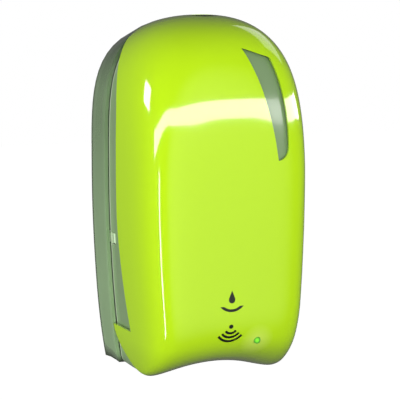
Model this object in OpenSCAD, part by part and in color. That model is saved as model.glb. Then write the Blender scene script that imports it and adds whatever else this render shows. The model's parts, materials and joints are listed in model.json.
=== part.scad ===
// Wall mounted touch-free soap dispenser.
// Heights in the modules are measured up from the foot datum; hung() moves every
// piece so that the origin is the centre of the four wall screws, on the wall plane.
// X runs across, the wall is the plane y = 0 and the front of the dispenser faces -Y.

/* [Outer form] */
// Half of the greatest width
half_w = 65.5; // [64:0.5:67]
// Depth from the wall to the front face
depth = 128; // [127:0.5:130]
// Height of the crown above the foot datum
crown_z = 268; // [267:0.5:270]
// Height at which the sides are widest
shoulder_z = 155; // [152:1:158]
// Half width at the foot
foot_half_w = 55; // [54.5:0.5:56]
// Height of the arch between the two feet
arch_h = 16; // [14:1:18]
// Depth of the fixed rear housing
rear_depth = 38; // [37.5:0.1:38.2]

/* [Walls] */
// Wall of the coloured front cover
skin_t = 2.2; // [1.8:0.1:2.4]
// Wall of the smoked hood under it
hood_t = 2; // [1.6:0.1:2.2]
// Wall of the rear housing
rear_t = 2.4; // [2:0.1:2.8]
// Thickness of the plate against the wall
plate_t = 3; // [2.6:0.1:3]

/* [Wall fixing] */
// Spacing of the wall screws across
screw_dx = 77; // [76:0.5:78]
// Spacing of the wall screws up and down
screw_dz = 176; // [174:1:178]
// Radius of the wall screw holes
screw_r = 2.75; // [2.25:0.25:3]
// Height of the middle of the wall screws above the foot datum
mount_z = 150; // [149:0.5:151]

/* [Cover hinge and lock] */
// Depth of the hinge axis in front of the wall
hinge_y = 33; // [32.9:0.1:33.1]
// Height of the hinge axis
hinge_z = 19; // [18.9:0.1:19.2]
// Radius of the hinge pins
pin_r = 1.6; // [1.4:0.1:1.8]
// Depth of the lock in front of the wall
lock_y = 66; // [64:1:68]
// Height of the top face of the lock
lock_z = 266.2; // [266:0.1:266.4]

/* [Soap tank] */
// Half width of the tank
tank_half_w = 47; // [44:1:48]
// Depth of the tank's front face
tank_front = 104; // [98:1:106]
// Height of the shelf that the tank stands on
shelf_top = 91; // [90.5:0.5:91.5]
// Height of the tank's top face
tank_top = 208; // [200:1:209]
// Wall of the tank
tank_t = 2; // [1.6:0.2:2.4]

/* [Pump] */
// Height of the two pump gears
gear_z = 62; // [61.8:0.1:62.2]
// Tooth module of the pump gears
gear_m = 1.25; // [1.24:0.01:1.26]
// Teeth on each pump gear
teeth = 12; // [12]
// Depth of the front face of the pump chassis wall
chassis_front = 79; // [78.8:0.1:79.2]

/* [Detail] */
// Rows of facets from the shoulder to the crown
rows_top = 16; // [8:1:20]
// Rows of facets from the foot to the shoulder
rows_low = 16; // [8:1:20]
// Facets from the side edge to the middle of the front
cols = 16; // [10:1:20]

/* [Hidden] */
$fn = 48;

// Clearances
run_gap = 0.05;      // radial gap round a pin or shaft that turns
skin_gap = 0.6;      // gap between the front cover and the hood

// Shape of the outer form
out_n = 2.4;         // roundness of the outline across
out_nz = 4.2;        // roundness of the outline over the crown
side_n = 8;          // squareness of the plan section below the shoulder
top_n = 4.6;         // squareness of the section over the crown
foot_r = 16;         // height over which the foot corners are cut back
foot_cut = 9;        // how far the foot corners are cut back
foot_lean = 0.25;    // share of the depth lost at the foot
foot_lean_z = 67;    // height below which the front leans back
chin_h = 43;         // height of the rounded chin
chin_cut = 26;       // how far the chin is rounded back
bow = 0.02;          // sideways bow of the front face
draft = 0.06;        // narrowing of the width towards the front
tuck = 4;            // narrowing of the width at the wall
tuck_depth = 30;     // depth over which the sides tuck in
top_drop = 11;       // fall of the crown towards the wall
arch_z = 65;         // height over which the arch fades out
arch_half_w = 58;    // half width of the arch
back_lift = 9;       // rise of the lower edge towards the wall
deep = 80;           // depth over which the crown falls

function clip01(v) = min(1, max(0, v));
function ease(v) = let (t = clip01(v)) t * t * (3 - 2 * t);
function root(v, e) = v <= 0 ? 0 : pow(v, e);

// The outline against the wall: u = 0 at the foot, 1 at the shoulder, 2 at the crown.
// Each entry is [half width, height, corner cut].
function outline(u) = u > 1
    ? let (a = 90 * pow(u - 1, 1.7))
        [half_w * root(cos(a), 2 / out_n),
         shoulder_z + (crown_z - shoulder_z) * root(sin(a), 2 / out_nz), 0]
    : let (z = shoulder_z * pow(u, 1.6), k = clip01(1 - z / foot_r))
        [half_w - (half_w - foot_half_w) * pow(1 - z / shoulder_z, 2), z,
         foot_cut * (1 - sqrt(1 - k * k))];

// Half the exponent of the depth section at height z of the outline.
function section_e(z) =
    1 / side_n + (1 / top_n - 1 / side_n) * ease((z - shoulder_z) / (crown_z - shoulder_z));

// Depth of the front face at height z.
function face_depth(z) = let (k = clip01(1 - z / chin_h))
    depth * (1 - foot_lean * pow(clip01(1 - z / foot_lean_z), 2))
    - chin_cut * (1 - sqrt(1 - k * k));

// A point of the right half of the outer surface. w = 90 at the wall and 0 at the middle
// of the front.
function skin_point(u, w) =
    let (o = outline(u), e = section_e(o[1]), c = root(cos(w), 2 * e), s = root(sin(w), 2 * e),
        x1 = (o[0] - o[2] * clip01(3 * c)) * s,
        z_mid = min(o[1], shoulder_z), z1 = z_mid + (o[1] - z_mid) * s,
        y = face_depth(z1) * c * (1 - bow * pow(x1 / half_w, 2)), d = y / depth,
        x = x1 * (1 - draft * d - tuck / half_w * pow(clip01(1 - y / tuck_depth), 2)),
        z2 = z1 - clip01((z1 - 100) / (crown_z - 100)) * top_drop * pow(clip01(1 - y / deep), 2),
        lift = arch_h * clip01(1 - pow(x / arch_half_w, 2)) + back_lift * (1 - d))
    [x, -y, z2 + pow(clip01(1 - z2 / arch_z), 1.5) * lift];

// Outward unit normal, from two neighbouring points of the surface.
function normal(u, w) =
    let (p = skin_point(u, w), du = u < 1 ? 0.004 : -0.004, dw = w < 45 ? 0.4 : -0.4,
        n = cross(skin_point(u + du, w) - p, skin_point(u, w + dw) - p),
        side = n * (p - [0, -40, 120]) < 0 ? -1 : 1)
    w < 0.01 && u >= 1 ? [0, -1, 0] : side * n / norm(n);

// A point g inside the outer surface.
function inset(u, w, g) = let (p = skin_point(u, w) - g * normal(u, w))
    w < 0.01 || u > 1.9999 ? [0, p[1], p[2]] : p;

// The w at which the surface is y deep, for row u.
function w_at(u, y) = let (o = outline(u), e = section_e(o[1]),
        full = face_depth(min(o[1], shoulder_z)) * (1 - bow * pow(o[0] / half_w, 2)))
    acos(min(1, pow(y / full, 1 / (2 * e))));

rows = rows_low + rows_top;
// The u of each row, from the foot up.
function row_u(r) = r / rows_low <= 1 ? r / rows_low : 1 + (r - rows_low) / rows_top;

// Point c of row r, at inset g. c runs from -n at the left edge to n at the right edge, and
// edge[r] holds the w of the row's side edge and of its middle.
function shell_point(us, edge, n, r, c, g) =
    let (k = abs(c) / n, w = edge[r][1] + (edge[r][0] - edge[r][1]) * k,
        p = inset(us[r], w, g))
    [c < 0 ? -p[0] : p[0], p[1], p[2]];

// A closed shell between the insets g0 and g1, from its left edge across the front to its
// right edge.
module front_shell(us, edge, g0, g1, n) {
    last = len(us) - 1;
    wide = 2 * n + 1;
    pole = search(1, [for (u = us) u >= 0.9999 ? 1 : 0])[0];
    points = [for (g = [g0, g1]) for (r = [0:last]) for (c = [-n:n])
        shell_point(us, edge, n, r, c, g)];
    function id(r, c, k) = k * (last + 1) * wide + n
        + (r == last ? last * wide + abs(c) : c == 0 && r >= pole ? pole * wide : r * wide + c);
    quads = concat(
        [for (r = [0:last - 1]) for (c = [-n:n - 1])
            [id(r, c, 0), id(r + 1, c, 0), id(r + 1, c + 1, 0), id(r, c + 1, 0)]],
        [for (r = [0:last - 1]) for (c = [-n:n - 1])
            [id(r, c, 1), id(r, c + 1, 1), id(r + 1, c + 1, 1), id(r + 1, c, 1)]],
        [for (c = [-n:n - 1]) [id(0, c, 1), id(0, c, 0), id(0, c + 1, 0), id(0, c + 1, 1)]],
        [for (r = [0:last - 1]) [id(r, -n, 0), id(r, -n, 1), id(r + 1, -n, 1), id(r + 1, -n, 0)]],
        [for (r = [0:last - 1]) [id(r + 1, n, 0), id(r + 1, n, 1), id(r, n, 1), id(r, n, 0)]]);
    faces = [for (q = quads) for (t = [[q[0], q[1], q[2]], [q[0], q[2], q[3]]])
        if (t[0] != t[1] && t[1] != t[2] && t[2] != t[0]) t];
    polyhedron(points, faces, convexity = 8);
}

// A band round the sides and crown, from the wall to depth y.
module rear_band(us, y, g0, g1, n) {
    last = len(us) - 1;
    full = concat([for (r = [0:last]) [us[r], 1]], [for (r = [last - 1:-1:0]) [us[r], -1]]);
    m = len(full) - 1;
    points = [for (g = [g0, g1]) for (f = full) for (c = [0:n])
        let (w1 = w_at(f[0], y), p = inset(f[0], 90 + (w1 - 90) * pow(c / n, 0.35), g))
            [f[1] * p[0], c == 0 ? 0 : c == n ? -y : p[1], p[2]]];
    function id(r, c, k) = k * (m + 1) * (n + 1) + r * (n + 1) + c;
    quads = concat(
        [for (r = [0:m - 1]) for (c = [0:n - 1])
            [id(r, c, 0), id(r, c + 1, 0), id(r + 1, c + 1, 0), id(r + 1, c, 0)]],
        [for (r = [0:m - 1]) for (c = [0:n - 1])
            [id(r, c, 1), id(r + 1, c, 1), id(r + 1, c + 1, 1), id(r, c + 1, 1)]],
        [for (r = [0:m - 1]) [id(r, 0, 1), id(r, 0, 0), id(r + 1, 0, 0), id(r + 1, 0, 1)]],
        [for (r = [0:m - 1]) [id(r, n, 0), id(r, n, 1), id(r + 1, n, 1), id(r + 1, n, 0)]],
        [for (c = [0:n - 1]) [id(0, c, 0), id(0, c, 1), id(0, c + 1, 1), id(0, c + 1, 0)]],
        [for (c = [0:n - 1]) [id(m, c + 1, 0), id(m, c + 1, 1), id(m, c, 1), id(m, c, 0)]]);
    polyhedron(points, [for (q = quads) for (t = [[q[0], q[1], q[2]], [q[0], q[2], q[3]]]) t],
        convexity = 8);
}
module hung() {
    translate([0, 0, -mount_z]) children();
}

// A cylinder along -Y, from y0 deep to y1 deep.
module rod_y(x, z, y0, y1, r) {
    translate([x, -y0, z]) rotate([90, 0, 0]) cylinder(h = y1 - y0, r = r);
}

// A block from x0 to x1, from y0 deep to y1 deep and from z0 to z1.
module block(x0, x1, y0, y1, z0, z1) {
    translate([x0, -y1, z0]) cube([x1 - x0, y1 - y0, z1 - z0]);
}

module post(x, y, z0, z1, r) {
    translate([x, -y, z0]) cylinder(h = z1 - z0, r = r);
}

module both_sides() {
    for (s = [0, 1]) mirror([s, 0, 0]) children();
}

// A flat block with round corners of radius r on its vertical edges.
module rounded_block(x0, x1, y0, y1, z0, z1, r) {
    translate([0, 0, z0]) linear_extrude(z1 - z0) {
        translate([x0 + r, -y1]) square([x1 - x0 - 2 * r, y1 - y0]);
        translate([x0, -y1 + r]) square([x1 - x0, y1 - y0 - 2 * r]);
        for (x = [x0 + r, x1 - r]) for (y = [y0 + r, y1 - r]) translate([x, -y]) circle(r);
    }
}

/* Rear housing */
row_list = [for (r = [0:rows]) row_u(r)];
floor_r = 180;       // radius of the arched floor
floor_top = 24;      // height of the floor's top face on the middle line
floor_t = 2.5;
floor_front = 60;
floor_half_w = 46;
nose_half_w = 41;    // half width of the floor in front of the hinge lugs
lug_r = 4.4;
lug_in = 46.4;
lug_out = 51;
corner_r = 5;        // round of the housing's lower front corner, about the hinge
boss_r = 5;
boss_depth = 8;
keyway_cut = 14;     // lower edge of the housing where the hood swings under it

// Places children on the arched floor's top face, x across.
module on_floor(x) {
    a = asin(x / floor_r);
    translate([0, 0, floor_top - floor_r]) rotate([0, a, 0]) translate([0, 0, floor_r]) children();
}

module floor_plate() {
    translate([0, -plate_t + 0.5, floor_top - floor_r]) rotate([90, 0, 0]) difference() {
        cylinder(h = floor_front - plate_t + 0.5, r = floor_r, $fn = 360);
        translate([0, 0, -1]) cylinder(h = floor_front + 2, r = floor_r - floor_t, $fn = 360);
        translate([-floor_r - 1, -floor_r - 1, -1])
            cube([2 * floor_r + 2, floor_r + 100, floor_front + 2]);
        both_sides() translate([floor_half_w, 0, -1]) cube([floor_r, floor_r + 1, floor_front + 2]);
        both_sides() translate([nose_half_w, 0, 24]) cube([floor_r, floor_r + 1, floor_front]);
    }
}

back_edge = [for (u = row_list) inset(u, 90, rear_t / 2)];
module back_plate() {
    last = len(back_edge) - 1;
    rotate([90, 0, 0]) linear_extrude(plate_t) polygon(concat(
        [for (p = back_edge) [p[0], p[2]]],
        [for (i = [last - 1:-1:0]) [-back_edge[i][0], back_edge[i][2]]]));
}

module wall_screw_places() {
    for (x = [-screw_dx / 2, screw_dx / 2]) for (z = [-screw_dz / 2, screw_dz / 2])
        translate([x, 0, mount_z + z]) children();
}

chassis_screw_x = 38.5;
chassis_screw_z = [36, 81];
keeper_screw_x = [9.5, 16.5];
keeper_screw_z = 230;
screw_shank = 1.4;
screw_hole = 1.45;

module rear_housing() color([0.55, 0.66, 0.5, 0.6]) hung() difference() {
    union() {
        rear_band(row_list, rear_depth, 0, rear_t, 5);
        back_plate();
        floor_plate();
        wall_screw_places() rotate([90, 0, 0]) cylinder(h = boss_depth, r = boss_r);
        both_sides() hinge_lug();
    }
    wall_screw_places() translate([0, 1, 0]) rotate([90, 0, 0])
        cylinder(h = boss_depth + 2, r = screw_r);
    both_sides() rear_corner_cut();
    both_sides() translate([lug_in - 1, -hinge_y, hinge_z]) rotate([0, 90, 0])
        cylinder(h = 5, r = pin_r + run_gap);
    for (x = [-chassis_screw_x, chassis_screw_x]) for (z = chassis_screw_z)
        rod_y(x, z, -1, plate_t + 1, screw_hole);
    for (x = keeper_screw_x) rod_y(x, keeper_screw_z, -1, plate_t + 1, screw_hole);
    on_floor(0) translate([0, -spout_y, -5]) cylinder(h = 10, r = spout_r + 0.1);
    on_floor(sensor_x) translate([-window_x / 2, -sensor_y - window_y / 2, -5])
        cube([window_x, window_y, 10]);
}

// The ear in the housing that holds one hinge pin.
module hinge_lug() {
    translate([lug_in, -hinge_y, hinge_z]) rotate([0, 90, 0]) cylinder(h = lug_out - lug_in, r = lug_r);
    block(lug_in, lug_out, 3, hinge_y, hinge_z - 1, hinge_z + lug_r);
}

// What the hood's lower corner needs when it swings under the housing.
module rear_corner_cut() {
    difference() {
        block(36, 70, 25, 45, 0, hinge_z);
        block(30, 71, hinge_y, hinge_y - 20, keyway_cut, hinge_z + 1);
        block(30, 71, 10, hinge_y, keyway_cut, hinge_z + 1);
        translate([30, -hinge_y, hinge_z]) rotate([0, 90, 0]) cylinder(h = 41, r = corner_r);
    }
}

catch_z = 103;
catch_h = 8;
catch_x = 56.8;
module side_catches() color([0.75, 0.82, 0.68]) hung() both_sides() {
    block(catch_x, catch_x + 1.4, 28, 47.6, catch_z, catch_z + catch_h);
    block(catch_x + 1.4, 60.2, 28, 36, catch_z + 1, catch_z + catch_h - 1);
}

module hinge_pins() color("silver") hung() both_sides()
    translate([arm_in - 0.5, -hinge_y, hinge_z]) rotate([0, 90, 0]) cylinder(h = 50 - arm_in, r = pin_r);

/* Pump chassis */
cheek_in = 44;
cheek_out = 47;
shelf_t = 3;
shelf_z = shelf_top - shelf_t;
chassis_low = 28;
wall_low = 42;
pump_x = gear_m * teeth / 2;
spigot_y = 89;
motor_x = -pump_x;
board_x = 38;
led_x = 17.6;
led_z = 42.4;
switch_x = -33;
switch_z = 50;
button_z = 66;
module pump_chassis() color([0.32, 0.34, 0.36]) hung() difference() {
    union() {
        rounded_block(-cheek_out, cheek_out, plate_t + 0.1, tank_front, shelf_z, shelf_top, 6);
        both_sides() block(cheek_in, cheek_out, plate_t + 0.1, chassis_front, chassis_low, shelf_z + 1);
        block(-cheek_out, cheek_out, chassis_front - 3, chassis_front, wall_low, shelf_z + 1);
        both_sides() for (z = chassis_screw_z)
            block(chassis_screw_x - 5, cheek_out, plate_t + 0.1, plate_t + 2.6, z - 5, z + 5);
        block(led_x - 3, led_x + 3, chassis_front - 1, 98, led_z - 6, led_z + 4);
        for (y = [36, 64]) for (z = [40, 78])
            translate([board_x + 1.7, -y, z]) rotate([0, 90, 0]) cylinder(h = 6, r = 2.5);
    }
    post(0, spigot_y, shelf_z - 1, shelf_top + 1, 9);
    rod_y(motor_x, gear_z, chassis_front - 4, chassis_front + 1, 4);
    for (x = [-10, 10]) rod_y(motor_x + x, gear_z, chassis_front - 4, chassis_front + 1, screw_hole);
    for (x = [-chassis_screw_x, chassis_screw_x]) for (z = chassis_screw_z)
        rod_y(x, z, 1, plate_t + 4, screw_hole);
    for (x = pump_screw_x) for (z = pump_screw_z)
        rod_y(x, z, chassis_front - 4, chassis_front + 1, screw_hole);
}

// A pan head screw along -Y with its point at y0 deep and its head's seat at y1 deep.
module screw_y(x, z, y0, y1, head_r = 2.8, head_h = 1.8) {
    rod_y(x, z, y0, y1 + 0.2, screw_shank);
    difference() {
        rod_y(x, z, y1, y1 + head_h, head_r);
        for (a = [0, 90]) translate([x, -y1 - head_h, z]) rotate([0, a, 0])
            cube([0.8, 1.6, 2.6], center = true);
    }
}

module chassis_screws() color("silver") hung()
    for (x = [-chassis_screw_x, chassis_screw_x]) for (z = chassis_screw_z)
        screw_y(x, z, 0.4, plate_t + 2.6);

/* Batteries */
cell_r = 7.1;
cell_h = 49;
cell_pitch = 15;
cell_x = [for (i = [-1.5:1:1.5]) i * cell_pitch];
cell_y = 14;
cell_z = 33.5;
box_half_w = 32;
box_low = 27;
box_high = 86;
box_front = 23.6;
box_t = 1.5;
module battery_box() color([0.2, 0.21, 0.22]) hung() difference() {
    block(-box_half_w, box_half_w, plate_t + 0.1, box_front, box_low, box_high);
    block(-box_half_w + box_t, box_half_w - box_t, plate_t + 1.6, box_front + 1, box_low + box_t,
        box_high - box_t);
}

module battery_cells() color([0.75, 0.6, 0.3]) hung() for (i = [0:3]) {
    z = i % 2 == 0 ? cell_z : cell_z + 1.4;
    post(cell_x[i], cell_y, z, z + cell_h - 1.4, cell_r);
    if (i % 2 == 0) post(cell_x[i], cell_y, z + cell_h - 1.5, z + cell_h, 2.6);
    else post(cell_x[i], cell_y, z - 1.4, z + 0.1, 2.6);
}

// A coil spring as one swept tube with a closed end at each side.
module coil(r, wire, h, turns) {
    n = turns * 14;
    sides = 6;
    points = [for (i = [0:n]) for (j = [0:sides - 1])
        let (a = 360 * turns * i / n, b = 360 * j / sides, q = r + wire * cos(b))
            [q * cos(a), q * sin(a), wire + (h - 2 * wire) * i / n + wire * sin(b)]];
    faces = concat(
        [for (i = [0:n - 1]) for (j = [0:sides - 1]) let (k = (j + 1) % sides)
            [i * sides + j, i * sides + k, (i + 1) * sides + k]],
        [for (i = [0:n - 1]) for (j = [0:sides - 1]) let (k = (j + 1) % sides)
            [i * sides + j, (i + 1) * sides + k, (i + 1) * sides + j]],
        [[for (j = [sides - 1:-1:0]) j]], [[for (j = [0:sides - 1]) n * sides + j]]);
    polyhedron(points, [for (f = faces) [for (i = [len(f) - 1:-1:0]) f[i]]]);
}

contact_t = 0.4;
module battery_springs() color("silver") hung() for (i = [0:3])
    if (i % 2 == 0) translate([cell_x[i], -cell_y, box_low + box_t + contact_t]) coil(4, 0.5, 4.5, 3);
    else translate([cell_x[i], -cell_y, cell_z + cell_h + 0.05]) coil(4, 0.4, 1.45, 1);

module battery_plates() color("gainsboro") hung()
    for (x = [-cell_pitch * 1.5, -cell_pitch / 2, cell_pitch / 2, cell_pitch * 1.5]) {
        block(x - 6, x + 6, 7, 20, box_low + box_t, box_low + box_t + contact_t);
        block(x - 6, x + 6, 7, 20, box_high - box_t - contact_t, box_high - box_t);
    }

door_y = 24;
module battery_door() color([0.25, 0.26, 0.28]) hung() {
    difference() {
        block(-31, 31, door_y, door_y + 1.8, box_low + 0.5, box_high - 0.5);
        for (z = [box_low + 4, box_high - 9]) block(-29, 29, door_y + 1.3, door_y + 3, z, z + 5);
    }
    for (i = [0:4]) block(18 + 2 * i, 19 + 2 * i, door_y + 1.7, door_y + 2.5, 46, 68);
}

/* Motor and pump */
gearbox_front = chassis_front - 3;
module gear_motor() color([0.7, 0.7, 0.72]) hung() difference() {
    union() {
        rod_y(motor_x, gear_z, gearbox_front - 9, gearbox_front, 14.5);
        rod_y(motor_x, gear_z, gearbox_front - 36, gearbox_front - 8.5, 12);
        rod_y(motor_x, gear_z, gearbox_front - 38, gearbox_front - 35.5, 4);
        for (s = [-1, 1]) block(motor_x + s * 8 - 1.5, motor_x + s * 8 + 1.5, gearbox_front - 41,
            gearbox_front - 35.5, gear_z - 0.4, gear_z + 0.4);
    }
    rod_y(motor_x, gear_z, gearbox_front - 7, gearbox_front + 1, 2);
    for (x = [-10, 10]) rod_y(motor_x + x, gear_z, gearbox_front - 4, gearbox_front + 1, screw_hole);
}

module motor_screws() color("silver") hung() for (x = [-10, 10])
    screw_y(motor_x + x, gear_z, gearbox_front - 3.5, chassis_front, 2.2, 1.2);

pump_back = chassis_front + 0.1;
cavity_back = 84;
cavity_front = 94;
pump_front = 97;
pump_half_w = 20;
pump_low = 48;
pump_high = 76;
tip_r = gear_m * (teeth / 2 + 0.88);
cavity_r = tip_r + 0.25;
pump_screw_x = [-17, 17];
pump_screw_z = [51, 73];
port_r = 2.5;
barb_r = 4;
module pump_body() color([0.85, 0.86, 0.84]) hung() difference() {
    union() {
        block(-pump_half_w, pump_half_w, pump_back, pump_front, pump_low, pump_high);
        post(0, spigot_y, pump_high - 1, pump_high + 3.5, barb_r);
        post(0, spigot_y, pump_low - 5, pump_low + 1, hose_in - run_gap);
    }
    for (x = [-pump_x, pump_x]) {
        rod_y(x, gear_z, cavity_back, pump_front + 1, cavity_r);
        rod_y(x, gear_z, pump_back - 1, cavity_back + 1, shaft_r + run_gap);
    }
    post(0, spigot_y, gear_z + 4, pump_high + 4, port_r);
    post(0, spigot_y, pump_low - 6, gear_z - 4, 1.5);
    for (x = pump_screw_x) for (z = pump_screw_z) rod_y(x, z, pump_back - 1, pump_front + 1, screw_hole);
    rod_y(motor_x - 10, gear_z, pump_back - 1, pump_back + 2, 2.6);
    rod_y(motor_x + 10, gear_z, pump_back - 1, pump_back + 2, 2.6);
}

gasket_t = 0.5;
module pump_gasket() color([0.1, 0.1, 0.1]) hung() difference() {
    block(-pump_half_w, pump_half_w, pump_front, pump_front + gasket_t, pump_low, pump_high);
    for (x = [-pump_x, pump_x]) rod_y(x, gear_z, pump_front - 1, pump_front + 2, cavity_r);
    for (x = pump_screw_x) for (z = pump_screw_z)
        rod_y(x, z, pump_front - 1, pump_front + 2, screw_hole);
}

cover_back = pump_front + gasket_t;
module pump_cover() color([0.3, 0.31, 0.33]) hung() difference() {
    union() {
        block(-pump_half_w, pump_half_w, cover_back, cover_back + 2.5, pump_low, pump_high);
        for (x = [-pump_x, pump_x]) rod_y(x, gear_z, cover_back + 2, cover_back + 4, 4);
        for (x = [-pump_x, pump_x]) difference() {
            rod_y(x, gear_z, cavity_front + 0.2, cover_back + 1, cavity_r - 0.15);
            rod_y(-x, gear_z, cavity_front, cover_back, cavity_r - 0.3);
        }
    }
    for (x = [-pump_x, pump_x]) rod_y(x, gear_z, cavity_front - 1, cover_back + 3, shaft_r + run_gap);
    for (x = pump_screw_x) for (z = pump_screw_z)
        rod_y(x, z, cover_back - 1, cover_back + 4, screw_hole);
}

module pump_screws() color("silver") hung() for (x = pump_screw_x) for (z = pump_screw_z)
    screw_y(x, z, chassis_front - 2, cover_back + 2.5, 2.6, 1.6);

// Spur gear outline with involute flanks.
pressure = 25;
flank_gap = 0.12;
pitch_r = gear_m * teeth / 2;
base_r = pitch_r * cos(pressure);
root_r = gear_m * (teeth / 2 - 1.25);
function involute(a) = tan(a) * 180 / PI - a;
function flank_angle(r) = 90 / teeth - flank_gap / pitch_r * 180 / PI
    + involute(pressure) - involute(acos(min(1, base_r / r)));
flank_radii = [root_r, base_r, (base_r + pitch_r) / 2, pitch_r, (pitch_r + tip_r) / 2, tip_r];
function tooth(a) = concat(
    [for (i = [0:5]) [flank_radii[i], a - flank_angle(max(base_r, flank_radii[i]))]],
    [for (i = [5:-1:0]) [flank_radii[i], a + flank_angle(max(base_r, flank_radii[i]))]]);
module gear_shape(turn) {
    polygon([for (i = [0:teeth - 1]) for (p = tooth(turn + i * 360 / teeth))
        [p[0] * cos(p[1]), p[0] * sin(p[1])]]);
}

shaft_r = 1.5;
module pump_gear(x, turn, y0, y1) {
    translate([x, -cavity_back - 0.15, gear_z]) rotate([90, 0, 0])
        linear_extrude(cavity_front - cavity_back - 0.3) gear_shape(turn);
    rod_y(x, gear_z, y0, y1, shaft_r);
}

module pump_drive_gear() color([0.9, 0.88, 0.8]) hung()
    pump_gear(-pump_x, 0, gearbox_front - 6, cover_back + 2.8);

module pump_idler_gear() color([0.9, 0.88, 0.8]) hung()
    pump_gear(pump_x, 180 / teeth, pump_back + 0.5, cover_back + 2.8);

hose_out = 3.6;
hose_in = 2.2;
hose_bend = 8;
spout_y = 50;
spout_r = 5;
hose_low = 36;
hose_end = 25.9;
module inlet_tube() color([0.85, 0.87, 0.86]) hung() difference() {
    post(0, spigot_y, pump_high + 0.1, shelf_z - 0.2, 5.6);
    post(0, spigot_y, pump_high - 1, shelf_z + 1, barb_r + run_gap);
}

// A quarter bend of the outlet hose, in the plane x = 0.
module quarter(r) {
    rotate([90, 0, 90]) rotate_extrude(angle = 90) translate([hose_bend, 0]) circle(r);
}

// The outlet hose at radius r, lengthened at both ends by e.
module hose_run(r, e) {
    post(0, spigot_y, hose_low + hose_bend, pump_low - 0.2 + e, r);
    translate([0, -spigot_y + hose_bend, hose_low + hose_bend]) rotate([180, 0, 0]) quarter(r);
    rod_y(0, hose_low, spout_y + hose_bend, spigot_y - hose_bend, r);
    translate([0, -spout_y - hose_bend, hose_low - hose_bend]) quarter(r);
    post(0, spout_y, hose_end - e, hose_low - hose_bend, r);
}

module outlet_tube() color([0.85, 0.87, 0.86]) hung() difference() {
    hose_run(hose_out, 0);
    hose_run(hose_in, 1);
}

spout_low = 13;
flange_z = floor_top + 0.1;
module spout() color([0.2, 0.21, 0.22]) hung() difference() {
    union() {
        post(0, spout_y, spout_low, flange_z + 0.5, spout_r);
        post(0, spout_y, flange_z, flange_z + 1.6, 8);
        post(0, spout_y, flange_z + 1, hose_low - hose_bend + 0.1, hose_in - run_gap);
    }
    post(0, spout_y, spout_low - 1, hose_end + 5, 1.4);
    post(0, spout_y, spout_low - 1, spout_low + 5, 3.4);
}

module duckbill_valve() color([0.9, 0.9, 0.88]) hung() difference() {
    union() {
        post(0, spout_y, spout_low + 3, spout_low + 4.9, 3.3);
        translate([0, -spout_y, spout_low + 0.2]) cylinder(h = 3, r1 = 1.4, r2 = 2.6);
    }
    post(0, spout_y, spout_low + 1.6, spout_low + 6, 1.2);
    block(-0.15, 0.15, spout_y - 0.9, spout_y + 0.9, spout_low - 1, spout_low + 2);
}

/* Electronics */
module control_board() color([0.1, 0.35, 0.2]) hung() difference() {
    block(board_x, board_x + 1.6, 30, 70, 34, 84);
    for (y = [36, 64]) for (z = [40, 78])
        translate([board_x - 1, -y, z]) rotate([0, 90, 0]) cylinder(h = 4, r = 1.5);
}

module board_parts() color([0.12, 0.12, 0.13]) hung() {
    block(board_x - 1.8, board_x, 44, 56, 52, 64);
    block(board_x - 6, board_x, 33, 40, 60, 72);
    block(board_x - 5, board_x, 58, 68, 46, 52);
    for (z = [60, 70]) translate([board_x - 8, -64, z]) rotate([0, 90, 0]) cylinder(h = 8, r = 3);
    for (y = [44:3:56]) block(board_x - 1, board_x, y, y + 1.6, 42, 45);
}

sensor_x = 26;
sensor_y = 50;
window_x = 22;
window_y = 11;
module sensor_board() color([0.1, 0.35, 0.2]) hung() on_floor(sensor_x)
    translate([-12, -sensor_y - 7, 6]) cube([24, 14, 1.4]);

module ir_sensors() color([0.15, 0.1, 0.2]) hung() on_floor(sensor_x) for (x = [-6, 6]) {
    translate([x, -sensor_y, 1.2]) cylinder(h = 4.8, r = 2.5);
    translate([x, -sensor_y, 1.2]) sphere(2.5);
}

module sensor_window() color([0.15, 0.02, 0.08]) hung() on_floor(sensor_x) {
    translate([-window_x / 2 + 0.15, -sensor_y - window_y / 2 + 0.15, -floor_t])
        cube([window_x - 0.3, window_y - 0.3, 1]);
    difference() {
        translate([-window_x / 2 + 0.15, -sensor_y - window_y / 2 + 0.15, -floor_t])
            cube([window_x - 0.3, window_y - 0.3, floor_t + 1]);
        translate([-window_x / 2 + 1.5, -sensor_y - window_y / 2 + 1.5, -floor_t + 0.9])
            cube([window_x - 3, window_y - 3, 5]);
    }
}

led_front = 106;
module led_board() color([0.1, 0.35, 0.2]) hung()
    block(led_x - 7, led_x + 7, 98.1, 99.6, led_z - 7, led_z + 5);

module status_led() color([0.4, 0.85, 0.2]) hung() {
    rod_y(led_x, led_z, 99.6, 100.8, 2.9);
    rod_y(led_x, led_z, 100.6, led_front, 2.5);
    translate([led_x, -led_front, led_z]) sphere(2.5);
}

module switch_body() color([0.15, 0.15, 0.16]) hung() difference() {
    block(switch_x - 8, switch_x + 8, chassis_front + 0.1, chassis_front + 6,
        switch_z - 4, switch_z + 4);
    block(switch_x - 5, switch_x + 5, chassis_front + 3, chassis_front + 8, switch_z - 2, switch_z + 2);
}

module switch_slider() color([0.85, 0.3, 0.15]) hung()
    block(switch_x - 4.7, switch_x - 4.7 + 5, chassis_front + 3.3, chassis_front + 8, switch_z - 1.7,
        switch_z + 1.7);

module button_housing() color([0.15, 0.15, 0.16]) hung() difference() {
    rod_y(switch_x, button_z, chassis_front + 0.1, chassis_front + 6, 5.5);
    rod_y(switch_x, button_z, chassis_front + 2, chassis_front + 7, 3.6);
}

module dose_button() color([0.3, 0.6, 0.2]) hung()
    rod_y(switch_x, button_z, chassis_front + 4, chassis_front + 8.4, 3.5);

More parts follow.
